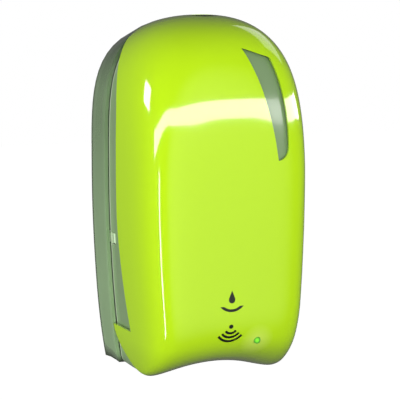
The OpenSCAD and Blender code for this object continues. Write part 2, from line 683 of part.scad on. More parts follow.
/* Soap tank */
mouth_x = -24;
mouth_y = 62;
mouth_r = 13;
neck_r = 15;
neck_top = tank_top + 4;
lid_y = 43;
lid_axis_z = tank_top + 5.8;
lid_pin_r = 1.2;
module tank() color([0.93, 0.94, 0.92, 0.7]) hung() difference() {
    union() {
        rounded_block(-tank_half_w, tank_half_w, plate_t + 1, tank_front, shelf_top + 0.1, tank_top, 14);
        post(0, spigot_y, shelf_z - 6.5, shelf_top + 1, barb_r);
        post(mouth_x, mouth_y, tank_top - 1, neck_top, neck_r);
        for (x = [-9, 5]) {
            block(mouth_x + x, mouth_x + x + 4, lid_y - 2.6, lid_y + 2.6, tank_top - 1, lid_axis_z);
            translate([mouth_x + x, -lid_y, lid_axis_z]) rotate([0, 90, 0]) cylinder(h = 4, r = 2.6);
        }
    }
    rounded_block(-tank_half_w + tank_t, tank_half_w - tank_t, plate_t + 1 + tank_t, tank_front - tank_t,
        shelf_top + 0.1 + tank_t, tank_top - tank_t, 14 - tank_t);
    post(0, spigot_y, shelf_z - 8, shelf_top + 5, port_r);
    post(mouth_x, mouth_y, tank_top - 5, neck_top + 1, mouth_r);
    translate([mouth_x - 10, -lid_y, lid_axis_z]) rotate([0, 90, 0])
        cylinder(h = 20, r = lid_pin_r + run_gap);
}

module tank_lid() color([0.2, 0.21, 0.22]) hung() difference() {
    union() {
        post(mouth_x, mouth_y, neck_top + 0.8, neck_top + 3.2, neck_r + 1);
        post(mouth_x, mouth_y, neck_top - 2.5, neck_top + 1, mouth_r - 0.6);
        rounded_block(mouth_x - 5, mouth_x + 5, mouth_y + 10, mouth_y + 20,
            neck_top + 0.8, neck_top + 3.2, 2);
        block(mouth_x - 4.6, mouth_x + 4.6, lid_y, mouth_y - 10, neck_top + 0.8, neck_top + 3.2);
        translate([mouth_x - 4.6, -lid_y, lid_axis_z]) rotate([0, 90, 0]) cylinder(h = 9.2, r = 2.4);
    }
    post(mouth_x, mouth_y, neck_top - 3, neck_top - 0.6, mouth_r - 2.2);
    translate([mouth_x - 10, -lid_y, lid_axis_z]) rotate([0, 90, 0])
        cylinder(h = 20, r = lid_pin_r + run_gap);
}

module lid_pin() color("silver") hung()
    translate([mouth_x - 9, -lid_y, lid_axis_z]) rotate([0, 90, 0]) cylinder(h = 18, r = lid_pin_r);

module mouth_seal() color([0.1, 0.1, 0.1]) hung() difference() {
    post(mouth_x, mouth_y, neck_top, neck_top + 0.7, neck_r - 0.2);
    post(mouth_x, mouth_y, neck_top - 1, neck_top + 1, mouth_r + 0.2);
}

/* Lock and keeper */
keeper_x = [6, 20];
keeper_z = 236;
lip_y = 74;
lip_z = 243.2;
module lock_keeper() color("silver") hung() difference() {
    union() {
        block(keeper_x[0], keeper_x[1], plate_t + 0.1, plate_t + 1.6, keeper_z - 11, keeper_z + 1.5);
        block(keeper_x[0], keeper_x[1], plate_t + 0.1, lip_y + 1.5, keeper_z, keeper_z + 1.5);
        block(keeper_x[0], keeper_x[1], lip_y, lip_y + 1.5, keeper_z, lip_z);
    }
    for (x = keeper_screw_x) rod_y(x, keeper_screw_z, plate_t - 1, plate_t + 3, screw_hole);
}

module keeper_screws() color("silver") hung() for (x = keeper_screw_x)
    screw_y(x, keeper_screw_z, 0.4, plate_t + 1.6);

barrel_r = 8;
core_r = 6;
cam_z = 246.2;
cam_t = 2.6;
barrel_low = 250;
module lock_barrel() color([0.08, 0.08, 0.09]) hung() difference() {
    union() {
        post(0, lock_y, barrel_low, lock_z - 1, barrel_r);
        post(0, lock_y, lock_z - 1.4, lock_z, 9.2);
    }
    post(0, lock_y, barrel_low - 1, lock_z + 1, core_r + run_gap);
}

module lock_nut() color("silver") hung() difference() {
    post(0, lock_y, 255, 258.5, 11, $fn = 6);
    post(0, lock_y, 250, 260, barrel_r + run_gap);
}

module lock_core() color([0.05, 0.05, 0.06]) hung() difference() {
    post(0, lock_y, cam_z + cam_t, lock_z - 0.4, core_r);
    for (x = [-2.2, 2.2]) block(x - 0.8, x + 0.8, lock_y - 1.6, lock_y + 1.6, lock_z - 6, lock_z + 1);
    post(0, lock_y, cam_z, 257, screw_hole);
}

module lock_cam() color("silver") hung() difference() {
    union() {
        post(0, lock_y, cam_z, cam_z + cam_t, 7);
        block(0, 16, lock_y - 4, lock_y + 4, cam_z, cam_z + cam_t);
        post(16, lock_y, cam_z, cam_z + cam_t, 4);
    }
    post(0, lock_y, cam_z - 1, cam_z + cam_t + 1, screw_hole);
}

module cam_screw() color("silver") hung() {
    post(0, lock_y, cam_z - 1.6, cam_z, 3);
    post(0, lock_y, cam_z - 0.2, 255, screw_shank);
}

/* Cover */
seam = rear_depth + 0.4;
arm_in = 41.8;
arm_out = 45.6;
hood_g0 = skin_t + skin_gap;
hood_g1 = hood_g0 + hood_t;
clip_x = 18;
clip_z = [100, 190];

module smoked_hood() color([0.42, 0.5, 0.4, 0.7]) hung() difference() {
    union() {
        front_shell(row_list, [for (u = row_list) [w_at(u, seam), 0]], hood_g0, hood_g1, cols);
        both_sides() hinge_arm();
    }
    both_sides() translate([arm_in - 1, -hinge_y, hinge_z]) rotate([0, 90, 0])
        cylinder(h = 6, r = pin_r + run_gap);
    post(0, lock_y, 240, 280, barrel_r + 0.1);
    rod_y(led_x, led_z, 90, 140, pipe_r + run_gap);
    both_sides() block(50, 70, seam + 0.6, 48, catch_z - 0.3, catch_z + catch_h + 0.3);
    for (x = [-clip_x, clip_x]) for (z = clip_z) rod_y(x, z, 100, 140, screw_shank + run_gap);
}

// The arm of the hood that turns on one hinge pin.
module hinge_arm() {
    translate([arm_in, -hinge_y, hinge_z]) rotate([0, 90, 0]) cylinder(h = arm_out - arm_in, r = lug_r);
    block(arm_in, arm_out, hinge_y, 46, hinge_z - 1, hinge_z + lug_r);
    block(arm_in, 51.5, 41, 46, hinge_z - 1, hinge_z + lug_r);
}

// Depth of the front cover's side edge at height z: it runs forward from the seam at the
// crown, stands clear of the side panes and steps back to the seam in a tab at the foot.
tab_u = 0.452;       // row just under the tab's ledge
ledge = 0.006;       // step up to the row just over it
tab_top = 45;
tab_tip = 13;
function tab_edge(z) = seam + 46 * pow(clip01((tab_top - z) / (tab_top - tab_tip)), 1.9);
function pane_edge(z) =
    seam + 21 * (1 - pow(1 - clip01((251 - z) / 60), 2)) + 13 * pow(clip01((125 - z) / 80), 1.4);
cover_rows = concat([for (u = row_list) if (u > 0.01 && u < tab_u - 0.02) u], [tab_u, tab_u + ledge],
    [for (u = row_list) if (u > tab_u + 0.03) u]);
function cover_edge(u, z) = u < tab_u + ledge / 2 ? tab_edge(z) : pane_edge(z);
// The w of the side edge, found by halving, because the height varies along a row.
function side_edge(u, low, high, steps) = let (w = (low + high) / 2, p = skin_point(u, w))
    steps == 0 ? w
    : -p[1] > cover_edge(u, p[2]) ? side_edge(u, w, high, steps - 1)
    : side_edge(u, low, w, steps - 1);

pipe_r = 2.5;
module front_cover() color([0.72, 0.87, 0.1]) hung() difference() {
    front_shell(cover_rows, [for (u = cover_rows) [side_edge(u, 0, 90, 10), 0]], 0, skin_t, cols);
    post(0, lock_y, 240, 280, barrel_r + 1.3);
    rod_y(led_x, led_z, 90, 140, pipe_r + run_gap);
    sight_window();
}

// The blade-shaped sight window beside the middle of the front, cut through along Y.
module sight_window() translate([0, -90, 0]) rotate([90, 0, 0]) linear_extrude(60)
    polygon(window_outline);
function arc(c, r, a0, a1, n) = [for (i = [0:n]) let (a = a0 + (a1 - a0) * i / n)
    [c[0] + r * cos(a), c[1] + r * sin(a)]];
// The outer side, the round lower end and the inner side are arcs. The top edge is straight.
window_outline = concat(
    arc([-127.8, 180], 167, 20.4, -1.2, 12),
    arc([30.6, 176.5], 8.56, -6, -87, 8),
    arc([-219.7, 133.9], 253, 7.8, 26.1, 12));

module cover_clips() color("silver") hung() for (x = [-clip_x, clip_x]) for (z = clip_z) {
    rod_y(x, z, 119.5, 121.2, 4);
    rod_y(x, z, 121, 124.2, screw_shank);
}

module light_pipe() color([0.45, 0.9, 0.25]) hung()
    rod_y(led_x, led_z, 110, 122, pipe_r);

rear_housing();
side_catches();
hinge_pins();
pump_chassis();
chassis_screws();
battery_box();
battery_cells();
battery_springs();
battery_plates();
battery_door();
gear_motor();
motor_screws();
pump_body();
pump_gasket();
pump_cover();
pump_screws();
pump_drive_gear();
pump_idler_gear();
inlet_tube();
outlet_tube();
spout();
duckbill_valve();
control_board();
board_parts();
sensor_board();
ir_sensors();
sensor_window();
led_board();
status_led();
switch_body();
switch_slider();
button_housing();
dose_button();
tank();
tank_lid();
lid_pin();
mouth_seal();
lock_keeper();
keeper_screws();
smoked_hood();
front_cover();
cover_clips();
light_pipe();
lock_barrel();
lock_nut();
lock_core();
lock_cam();
cam_screw();
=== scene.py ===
"""Looks of the wall mounted touch-free soap dispenser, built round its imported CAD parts."""

import json
from math import cos, pi, radians, sin

import bmesh
import bpy
import numpy as np
from mathutils import Matrix, Vector

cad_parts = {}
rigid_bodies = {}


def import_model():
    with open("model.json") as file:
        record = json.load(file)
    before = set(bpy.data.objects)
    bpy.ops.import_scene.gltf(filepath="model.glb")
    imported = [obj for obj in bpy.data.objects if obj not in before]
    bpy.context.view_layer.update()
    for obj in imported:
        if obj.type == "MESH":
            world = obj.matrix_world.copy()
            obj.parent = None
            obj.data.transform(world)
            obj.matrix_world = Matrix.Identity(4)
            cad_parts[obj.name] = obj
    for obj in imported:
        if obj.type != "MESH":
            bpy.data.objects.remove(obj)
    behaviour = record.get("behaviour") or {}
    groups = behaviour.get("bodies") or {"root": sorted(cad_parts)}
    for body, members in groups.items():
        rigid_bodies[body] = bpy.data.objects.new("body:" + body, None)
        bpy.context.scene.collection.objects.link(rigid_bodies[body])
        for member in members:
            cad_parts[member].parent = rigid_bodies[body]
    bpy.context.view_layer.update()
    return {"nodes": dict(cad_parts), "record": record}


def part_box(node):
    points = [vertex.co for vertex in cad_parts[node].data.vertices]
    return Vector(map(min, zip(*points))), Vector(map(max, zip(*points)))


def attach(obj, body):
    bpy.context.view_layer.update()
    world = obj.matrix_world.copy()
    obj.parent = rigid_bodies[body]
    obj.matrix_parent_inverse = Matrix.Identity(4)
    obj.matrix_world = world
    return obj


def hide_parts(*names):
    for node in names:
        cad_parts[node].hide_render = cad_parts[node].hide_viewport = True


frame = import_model()
scene = bpy.context.scene
NODES = frame["nodes"]
RECORD = frame["record"]
BODY = {node: body for body, nodes in RECORD["behaviour"]["bodies"].items() for node in nodes}
SLOT_OF = {part["node"]: part["material_slot"] for part in RECORD["subparts"]}
MM = 0.001
FOOT = 150.0    # a height in mm above the foot line, less this, is z in mm
LED_LOW, LED_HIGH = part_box("light_pipe")
LED_X, LED_Z = (LED_LOW[0] + LED_HIGH[0]) / 2, (LED_LOW[2] + LED_HIGH[2]) / 2


# ---------------------------------------------------------------- shader maths

class Value:
    """A number or vector that a material works out at each point of a surface."""

    def __init__(self, finish, socket):
        self.finish, self.socket = finish, socket

    def maths(self, operation, *others, clamp=False):
        node = self.finish.tree.nodes.new("ShaderNodeMath")
        node.operation, node.use_clamp = operation, clamp
        for slot, term in zip(node.inputs, (self, *others)):
            self.finish.feed(slot, term)
        return Value(self.finish, node.outputs[0])

    def __add__(self, other):
        return self.maths("ADD", other)

    __radd__ = __add__

    def __mul__(self, other):
        return self.maths("MULTIPLY", other)

    __rmul__ = __mul__

    def __sub__(self, other):
        return self.maths("SUBTRACT", other)

    def __rsub__(self, other):
        return (self * -1) + other

    def __truediv__(self, other):
        return self.maths("DIVIDE", other)

    def __pow__(self, power):
        return self.maths("POWER", power)

    def size(self):
        return self.maths("ABSOLUTE")

    def root(self):
        return self.maths("SQRT")

    def most(self, other):
        return self.maths("MAXIMUM", other)

    def over(self, edge, soft):
        """0 below the edge and 1 above it, with a ramp as wide as soft."""
        return ((self - (edge - soft / 2)) / soft).maths("ADD", 0, clamp=True)


class Finish:
    """A procedural material for one kind of surface."""

    def __init__(self, name, base, rough=0.4, **fixed):
        self.material = bpy.data.materials.new(name)
        self.material.use_nodes = True
        self.tree = self.material.node_tree
        self.shader = self.tree.nodes["Principled BSDF"]
        self.set("Base Color", (*base, 1))
        self.set("Roughness", rough)
        for socket, amount in fixed.items():
            self.set(socket.replace("_", " "), amount)
        self.place = self.node("ShaderNodeTexCoord")["Object"]

    def feed(self, slot, term):
        if isinstance(term, Value):
            self.tree.links.new(term.socket, slot)
        else:
            slot.default_value = term

    def set(self, socket, term):
        self.feed(self.shader.inputs[socket], term)

    def node(self, kind, settings=(), **terms):
        """Adds a node and gives its outputs by name. A term called at3 goes into the input at place 3."""
        node = self.tree.nodes.new(kind)
        for field, choice in dict(settings).items():
            setattr(node, field, choice)
        for socket, term in terms.items():
            name = socket.replace("_", " ")
            by_place = name.startswith("at") and name[2:].isdigit()
            self.feed(node.inputs[int(name[2:]) if by_place else name], term)
        return {out.name: Value(self, out) for out in node.outputs if out.enabled}

    def noise(self, scale, detail=4, stretch=(1, 1, 1), w=0.0):
        where = self.node("ShaderNodeMapping", Vector=self.place, Scale=stretch)["Vector"]
        found = self.node("ShaderNodeTexNoise", {"noise_dimensions": "4D"}, Vector=where, Scale=scale,
                          Detail=detail, W=w)
        return found.get("Fac") or found["Factor"]

    def axes(self):
        split = self.node("ShaderNodeSeparateXYZ", Vector=self.place)
        return split["X"], split["Y"], split["Z"]

    def mix(self, share, first, second):
        """Colour first where share is 0 and second where it is 1."""
        def colour(term):
            return term if isinstance(term, Value) else (*term, 1)
        mixed = self.node("ShaderNodeMix", {"data_type": "RGBA"}, at0=share, at6=colour(first), at7=colour(second))
        return mixed["Result"]

    def bump(self, height, distance, strength=1.0):
        bumped = self.node("ShaderNodeBump", Height=height, Distance=distance, Strength=strength)
        self.set("Normal", bumped["Normal"])


def srgb(r, g, b):
    """Linear colour from a screen colour of 0 to 255."""
    return tuple(c / 12.92 if c <= 0.04045 else ((c + 0.055) / 1.055) ** 2.4
                 for c in (r / 255, g / 255, b / 255))


def shade(colour, amount):
    return tuple(c * amount for c in colour)


# ---------------------------------------------------------------- finishes

def moulded(name, base, rough=0.35, grain=900, depth=0.00003, **fixed):
    """Injection moulded plastic: faint flow marks, uneven gloss and a fine grain."""
    finish = Finish(name, base, rough, **fixed)
    flow = finish.noise(14, 3, (1, 1, 0.4))
    fine = finish.noise(grain, 2)
    finish.set("Base Color", finish.mix(flow.over(0.5, 0.6), shade(base, 0.93), shade(base, 1.05)))
    finish.set("Roughness", (flow - 0.5) * 0.12 + (fine - 0.5) * 0.06 + rough)
    finish.bump(fine, depth, 0.35)
    return finish


def machined(name, base, rough=0.3, metallic=1.0, stretch=(1, 1, 12), scale=260):
    """Metal with fine drawn or turned lines and faint stains."""
    finish = Finish(name, base, rough, Metallic=metallic)
    lines = finish.noise(scale, 3, stretch)
    stain = finish.noise(60, 4)
    finish.set("Base Color", finish.mix(stain.over(0.55, 0.5), base, shade(base, 0.8)))
    finish.set("Roughness", lines * 0.25 + (rough - 0.1))
    finish.bump(lines, 0.00003, 0.4)
    return finish


def distance_from(x, z, middle):
    """How far a point is from a middle point, both seen from the front."""
    return ((x - middle[0]) ** 2 + (z - middle[1]) ** 2).root()


def ring_mark(x, z, middle, radius, half_t):
    """1 on a ring line about a middle point in the front plane."""
    return 1 - (distance_from(x, z, middle) - radius).size().over(half_t, 0.25 * MM)


def cover_marks(x, z):
    """The printed marks: a drop over a cupped palm, then a dot over three spreading waves."""
    mid_x, foot_z = -4 * MM, -FOOT * MM
    dot_at, drop_z = (mid_x, foot_z + 54.5 * MM), foot_z + 73.5 * MM
    waves = ring_mark(x, z, dot_at, 4.9 * MM, 0.9 * MM)
    for radius in (7.9, 10.9):
        waves = waves.most(ring_mark(x, z, dot_at, radius * MM, 0.9 * MM))
    fan = ((dot_at[1] - z) * 1.3 - (x - mid_x).size()).over(0.0, 0.4 * MM)
    dot = 1 - distance_from(x, z, dot_at).over(1.6 * MM, 0.3 * MM)
    drop = 1 - distance_from(x, z, (mid_x, drop_z)).over(2.4 * MM, 0.3 * MM)
    point = ((foot_z + 80 * MM) - z) * 0.42 - (x - mid_x).size()
    drop = drop.most(point.over(0.0, 0.3 * MM) * z.over(foot_z + 74.2 * MM, 0.2 * MM))
    palm = ring_mark(x, z, (mid_x, foot_z + 76.5 * MM), 10.5 * MM, 1.0 * MM)
    palm = palm * (1 - z.over(foot_z + 69 * MM, 0.3 * MM))
    return (waves * fan).most(dot).most(drop).most(palm)


def cover_finish():
    """High gloss lime plastic with printed marks, painted shade towards the chin, and a painted glow of lighter
    lime about the status lamp.
    """
    lime = srgb(188, 233, 12)
    finish = Finish("lime_gloss", lime, 0.1, Coat_Weight=1.0, Coat_Roughness=0.04, IOR=1.5)
    x, y, z = finish.axes()
    flow = finish.noise(9, 3, (1, 1, 0.5))
    peel = finish.noise(420, 2)
    tone = finish.mix(flow, shade(lime, 0.97), shade(lime, 1.03))
    # Painted shade: the lime darkens towards the bottom, and more at the chin.
    tone = finish.mix(z.over(-0.02, 0.26), shade(lime, 0.88), tone)
    tone = finish.mix(z.over(-0.124, 0.026), shade(lime, 0.66), tone)
    # Painted light: a glow of lighter lime about the status lamp.
    painted_led_glow = (1 - distance_from(x, z, (LED_X, LED_Z)).over(7 * MM, 11 * MM)) * 0.5
    tone = finish.mix(painted_led_glow, tone, srgb(222, 244, 120))
    ink = cover_marks(x, z) * (1 - y.over(-0.09, 0.002))
    finish.set("Base Color", finish.mix(ink, tone, srgb(10, 18, 4)))
    finish.set("Roughness", flow * 0.04 + ink * 0.3 + 0.07)
    finish.set("Coat Weight", 1 - ink)
    finish.bump(peel, 0.02 * MM, 0.12)
    return finish.material


def smoked_finish(name, base, clear, rough=0.12, rim=False):
    """Smoked see-through plastic. The hood has a painted highlight along its rim at the seam, and the housing has
    painted shade at its crown, its foot and its wall edge, with painted light on its lower part."""
    finish = Finish(name, base, rough, IOR=1.5, Coat_Weight=0.4, Coat_Roughness=0.05)
    cloud = finish.noise(18, 3)
    fine = finish.noise(700, 2)
    tone = finish.mix(cloud, shade(base, 0.92), shade(base, 1.08))
    _, y, z = finish.axes()
    if rim:
        # Painted highlight: a thin light line along the hood's rim at the seam.
        tone = finish.mix(y.over(-0.0405, 0.0012), tone, srgb(205, 222, 192))
    else:
        # Painted shade: a dark line along the wall edge, and dark at the crown and the foot.
        wall_edge_shade = y.over(-0.0035, 0.003) * (1 - y.over(-0.0006, 0.0004))
        deep = z.over(0.088, 0.05).most(1 - z.over(-0.131, 0.008)).most(wall_edge_shade)
        # Painted light: a lighter tone on the lower part, under the painted shade.
        pale = finish.mix(cloud, shade(base, 1.4), shade(base, 1.6))
        tone = finish.mix(deep, finish.mix(z.over(-0.02, 0.12), pale, tone), shade(base, 0.22))
    finish.set("Base Color", tone)
    finish.set("Roughness", cloud * 0.06 + rough)
    finish.set("Alpha", (cloud - 0.5) * 0.08 + (1 - clear))
    finish.bump(fine, 0.02 * MM, 0.2)
    return finish.material


def cell_finish():
    """Printed battery jackets: a dark body, a copper band at one end and bare metal caps."""
    copper, black, silver = (0.75, 0.36, 0.14), (0.02, 0.02, 0.022), (0.7, 0.7, 0.7)
    finish = Finish("cell_jacket", black, 0.28, Coat_Weight=0.3)
    low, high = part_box("battery_cells")
    rise = (finish.axes()[2] - low[2]) / (high[2] - low[2])
    scuff = finish.noise(300, 3, (1, 1, 0.1))
    tone = finish.mix(rise.over(0.7, 0.01), black, copper)
    ends = (1 - rise.over(0.02, 0.004)).most(rise.over(0.955, 0.004))
    finish.set("Base Color", finish.mix(ends, tone, silver))
    finish.set("Metallic", rise.over(0.7, 0.01).most(ends) * 0.9)
    finish.set("Roughness", scuff * 0.15 + 0.2)
    finish.bump(scuff, 0.00002, 0.3)
    return finish.material


def board_finish():
    """Green solder mask with paler tracks."""
    finish = Finish("board_green", (0.01, 0.09, 0.035), 0.35, Coat_Weight=0.3)
    _, y, z = finish.axes()
    across, along = (y * 620).maths("SINE"), (z * 470).maths("SINE")
    cells = finish.node("ShaderNodeTexVoronoi", {"feature": "DISTANCE_TO_EDGE"}, Vector=finish.place, Scale=260)
    track = (1 - cells["Distance"].over(0.08, 0.03)) * (across * along).over(0.1, 0.1)
    tone = finish.mix(track, (0.008, 0.075, 0.03), (0.02, 0.16, 0.06))
    finish.set("Base Color", tone)
    finish.set("Roughness", finish.noise(200, 2) * 0.2 + 0.25)
    finish.bump(track, 0.00003, 0.5)
    return finish.material


def lens_finish():
    """Green light pipe, glowing at its face."""
    green = srgb(96, 205, 24)
    finish = Finish("green_lens", green, 0.12, Coat_Weight=0.6, Emission_Strength=0.3)
    x, _, z = finish.axes()
    lens_r = 2.5 * MM
    glow = 1 - (distance_from(x, z, (LED_X, LED_Z)) / lens_r).over(0.62, 0.7)
    haze = finish.noise(500, 2)
    finish.set("Base Color", finish.mix(glow, srgb(38, 120, 12), srgb(120, 225, 30)))
    finish.set("Emission Color", finish.mix(glow, srgb(20, 90, 8), srgb(110, 235, 20)))
    finish.set("Roughness", haze * 0.1 + 0.08)
    finish.bump(haze, 0.00002, 0.2)
    return finish.material


def soft_finish(name, base, rough=0.6):
    """Rubber or silicone, with a dusty, slightly pitted skin."""
    finish = Finish(name, base, rough)
    pits = finish.noise(900, 4)
    dust = finish.noise(40, 4)
    dusty = tuple(c * 0.8 + 0.03 for c in base)
    finish.set("Base Color", finish.mix(dust.over(0.6, 0.5), base, dusty))
    finish.set("Roughness", pits * 0.2 + (rough - 0.1))
    finish.bump(pits, 0.00005, 0.5)
    return finish.material


FINISHES = {
    "lime_plastic": cover_finish(),
    "smoked_plastic": smoked_finish("smoked_plastic", srgb(134, 162, 118), 0.14, rim=True),
    "housing_plastic": smoked_finish("housing_plastic", srgb(128, 156, 114), 0.12),
    "catch_plastic": smoked_finish("catch_plastic", srgb(205, 226, 190), 0.05, 0.3),
    "steel": machined("steel", (0.72, 0.72, 0.7)).material,
    "grey_plastic": moulded("grey_plastic", srgb(96, 100, 100)).material,
    "cell_jacket": cell_finish(),
    "motor_can": machined("motor_can", (0.55, 0.55, 0.56), 0.35, stretch=(12, 1, 12)).material,
    "white_plastic": moulded("white_plastic", srgb(222, 226, 220), 0.3, Subsurface_Weight=0.15,
                             Subsurface_Radius=(0.004, 0.004, 0.004)).material,
    "silicone": soft_finish("silicone", srgb(214, 218, 210), 0.45),
    "black_rubber": soft_finish("black_rubber", (0.02, 0.02, 0.02)),
    "board_green": board_finish(),
    "chip_black": moulded("chip_black", (0.018, 0.018, 0.02), 0.4, 1600).material,
    "ir_dark": moulded("ir_dark", (0.03, 0.006, 0.02), 0.12, 600).material,
    "green_lens": lens_finish(),
    "lock_black": moulded("lock_black", (0.012, 0.012, 0.014), 0.28, 700).material,
    "switch_orange": moulded("switch_orange", srgb(214, 84, 26), 0.35).material,
    "button_green": moulded("button_green", srgb(64, 140, 40), 0.35).material,
}

# ---------------------------------------------------------------- outer form

HALF_W, DEPTH, CROWN, SHOULDER, FOOT_HALF_W = 65.5, 128.0, 268.0, 155.0, 55.0
SKIN_T, HOOD_T, SKIN_GAP, SEAM = 2.2, 2.0, 0.6, 38.4


def clip(v):
    return np.clip(v, 0, 1)


def outline(u):
    """Half width, height and corner cut of the outline, from u = 0 at the foot to 2 at the crown."""
    turn = np.radians(90 * np.clip(u - 1, 0, 1) ** 1.7)
    low_z = SHOULDER * np.clip(u, 0, 1) ** 1.6
    k = clip(1 - low_z / 16)
    up = u > 1
    taper = (HALF_W - FOOT_HALF_W) * (1 - low_z / SHOULDER) ** 2
    half = np.where(up, HALF_W * clip(np.cos(turn)) ** (2 / 2.4), HALF_W - taper)
    height = np.where(up, SHOULDER + (CROWN - SHOULDER) * clip(np.sin(turn)) ** (2 / 4.2), low_z)
    return half, height, np.where(up, 0, 9 * (1 - np.sqrt(1 - k * k)))


def face_depth(z):
    k = clip(1 - z / 43)
    return DEPTH * (1 - 0.25 * clip(1 - z / 67) ** 2) - 26 * (1 - np.sqrt(1 - k * k))


def section_power(height):
    """Half the reciprocal power of the section's superellipse: boxy low down and rounder at the crown."""
    t = clip((height - SHOULDER) / (CROWN - SHOULDER))
    return 1 / 8 + (1 / 4.6 - 1 / 8) * t * t * (3 - 2 * t)


def skin_point(u, w):
    """Points of the right half of the outer surface: w = 90 at the wall and 0 at the middle of the front."""
    u, w = np.broadcast_arrays(np.asarray(u, float), np.asarray(w, float))
    half, height, cut = outline(u)
    e = section_power(height)
    c = clip(np.cos(np.radians(w))) ** (2 * e)
    s = clip(np.sin(np.radians(w))) ** (2 * e)
    x1 = (half - cut * clip(3 * c)) * s
    z_mid = np.minimum(height, SHOULDER)
    z1 = z_mid + (height - z_mid) * s
    y = face_depth(z1) * c * (1 - 0.02 * (x1 / HALF_W) ** 2)
    d = y / DEPTH
    x = x1 * (1 - 0.06 * d - 4 / HALF_W * clip(1 - y / 30) ** 2)
    z2 = z1 - clip((z1 - 100) / (CROWN - 100)) * 11 * clip(1 - y / 80) ** 2
    lift = 16 * clip(1 - (x / 58) ** 2) + 9 * (1 - d)
    return np.stack([x, -y, z2 + clip(1 - z2 / 65) ** 1.5 * lift], -1)


def inset(u, w, g):
    """Points g inside the outer surface."""
    u, w = np.broadcast_arrays(np.asarray(u, float), np.asarray(w, float))
    p = skin_point(u, w)
    du, dw = np.where(u < 1, 0.004, -0.004), np.where(w < 45, 0.4, -0.4)
    n = np.cross(skin_point(u + du, w) - p, skin_point(u, w + dw) - p)
    n *= np.where((n * (p - [0, -40, 120])).sum(-1) < 0, -1, 1)[..., None]
    n /= np.maximum(np.linalg.norm(n, axis=-1), 1e-12)[..., None]
    n[(w < 1e-9) & (u >= 1)] = [0, -1, 0]
    q = p - g * n
    q[(w < 1e-9) | (u > 1.9999), 0] = 0
    return q


def w_at_depth(u, y):
    """The w at which the surface is y deep."""
    half, height, _ = outline(np.asarray(u, float))
    e = section_power(height)
    full = face_depth(np.minimum(height, SHOULDER)) * (1 - 0.02 * (half / HALF_W) ** 2)
    return np.degrees(np.arccos(np.minimum(1, (y / full) ** (1 / (2 * e)))))


def cover_side_w(u):
    """The w of the front cover's side edge, by halving."""
    low, high = np.zeros_like(u), np.full_like(u, 90.0)
    for _ in range(14):
        w = (low + high) / 2
        p = skin_point(u, w)
        z = p[..., 2]
        tab = SEAM + 46 * clip((45 - z) / 32) ** 1.9
        inside = -p[..., 1] > tab
        low, high = np.where(inside, w, low), np.where(inside, high, w)
    return w


def even_columns(us, side_w, n):
    """For each row, n + 1 values of w from the middle of the front to the side, evenly spaced."""
    a = np.linspace(0, 1, 500)
    share = a ** 4 / (a ** 4 + (1 - a) ** 2.5)
    out = np.empty((len(us), n + 1))
    for i, (u, edge) in enumerate(zip(us, side_w)):
        w = edge * share
        p = skin_point(np.full_like(w, u), w)
        run = np.concatenate([[0], np.cumsum(np.linalg.norm(np.diff(p, axis=0), axis=1))])
        out[i] = np.interp(np.linspace(0, run[-1], n + 1), run, w)
    return out


# ---------------------------------------------------------------- making pieces

def piece(name, mesh, body, slot, replaced=(), smooth=35):
    """A finished piece, in its place, with its finish, on its body."""
    if isinstance(mesh, bmesh.types.BMesh):
        bm, mesh = mesh, bpy.data.meshes.new(name)
        bm.to_mesh(mesh)
        bm.free()
    for face in mesh.polygons:
        face.use_smooth = True
    if smooth:
        mesh.set_sharp_from_angle(angle=radians(smooth))
    mesh.materials.clear()
    mesh.materials.append(FINISHES[slot])
    thing = bpy.data.objects.new(name, mesh)
    scene.collection.objects.link(thing)
    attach(thing, body)
    if replaced:
        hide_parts(*replaced)
    return thing


def baked(thing):
    """The plain mesh that an object's modifiers give. The object goes."""
    bpy.context.view_layer.update()
    seen = thing.evaluated_get(bpy.context.evaluated_depsgraph_get())
    mesh = bpy.data.meshes.new_from_object(seen)
    bpy.data.objects.remove(thing)
    return mesh


def shaped(mesh, *modifiers):
    """A mesh after the modifiers, each given as a type and its settings."""
    if isinstance(mesh, bmesh.types.BMesh):
        bm, mesh = mesh, bpy.data.meshes.new("work")
        bm.to_mesh(mesh)
        bm.free()
    thing = bpy.data.objects.new("work", mesh)
    scene.collection.objects.link(thing)
    for kind, settings in modifiers:
        modifier = thing.modifiers.new(kind.lower(), kind)
        for field, choice in settings.items():
            setattr(modifier, field, choice)
    return baked(thing)


def combined(mesh, operation, *others):
    """The mesh after a boolean operation with each of the other meshes in turn."""
    tools = []
    for other in others:
        tool = bpy.data.objects.new("tool", other)
        scene.collection.objects.link(tool)
        tools.append(tool)
    out = shaped(mesh, *[("BOOLEAN", {"object": tool, "operation": operation, "solver": "MANIFOLD"})
                         for tool in tools])
    for tool in tools:
        bpy.data.objects.remove(tool)
    return out


def prism(points, axis, start, end):
    """A closed outline of points in mm, swept along an axis from start to end in mm. Heights are from the foot."""
    def place(a, b, c):
        x, y, z = {"x": (c, a, b), "y": (a, c, b), "z": (a, b, c)}[axis]
        return Vector((x, y, z - FOOT)) * MM
    bm = bmesh.new()
    near = [bm.verts.new(place(a, b, start)) for a, b in points]
    far = [bm.verts.new(place(a, b, end)) for a, b in points]
    bm.faces.new(near)
    bm.faces.new(far)
    for i in range(len(points)):
        j = (i + 1) % len(points)
        bm.faces.new((near[i], near[j], far[j], far[i]))
    bmesh.ops.recalc_face_normals(bm, faces=bm.faces)
    mesh = bpy.data.meshes.new("prism")
    bm.to_mesh(mesh)
    bm.free()
    return mesh


def circle(a, b, r, n=64):
    return [(a + r * cos(2 * pi * i / n), b + r * sin(2 * pi * i / n)) for i in range(n)]


def arc(a, b, r, start, end, n):
    turns = [radians(start + (end - start) * i / n) for i in range(n + 1)]
    return [(a + r * cos(turn), b + r * sin(turn)) for turn in turns]


def rectangle(a0, a1, b0, b1):
    return [(a0, b0), (a1, b0), (a1, b1), (a0, b1)]


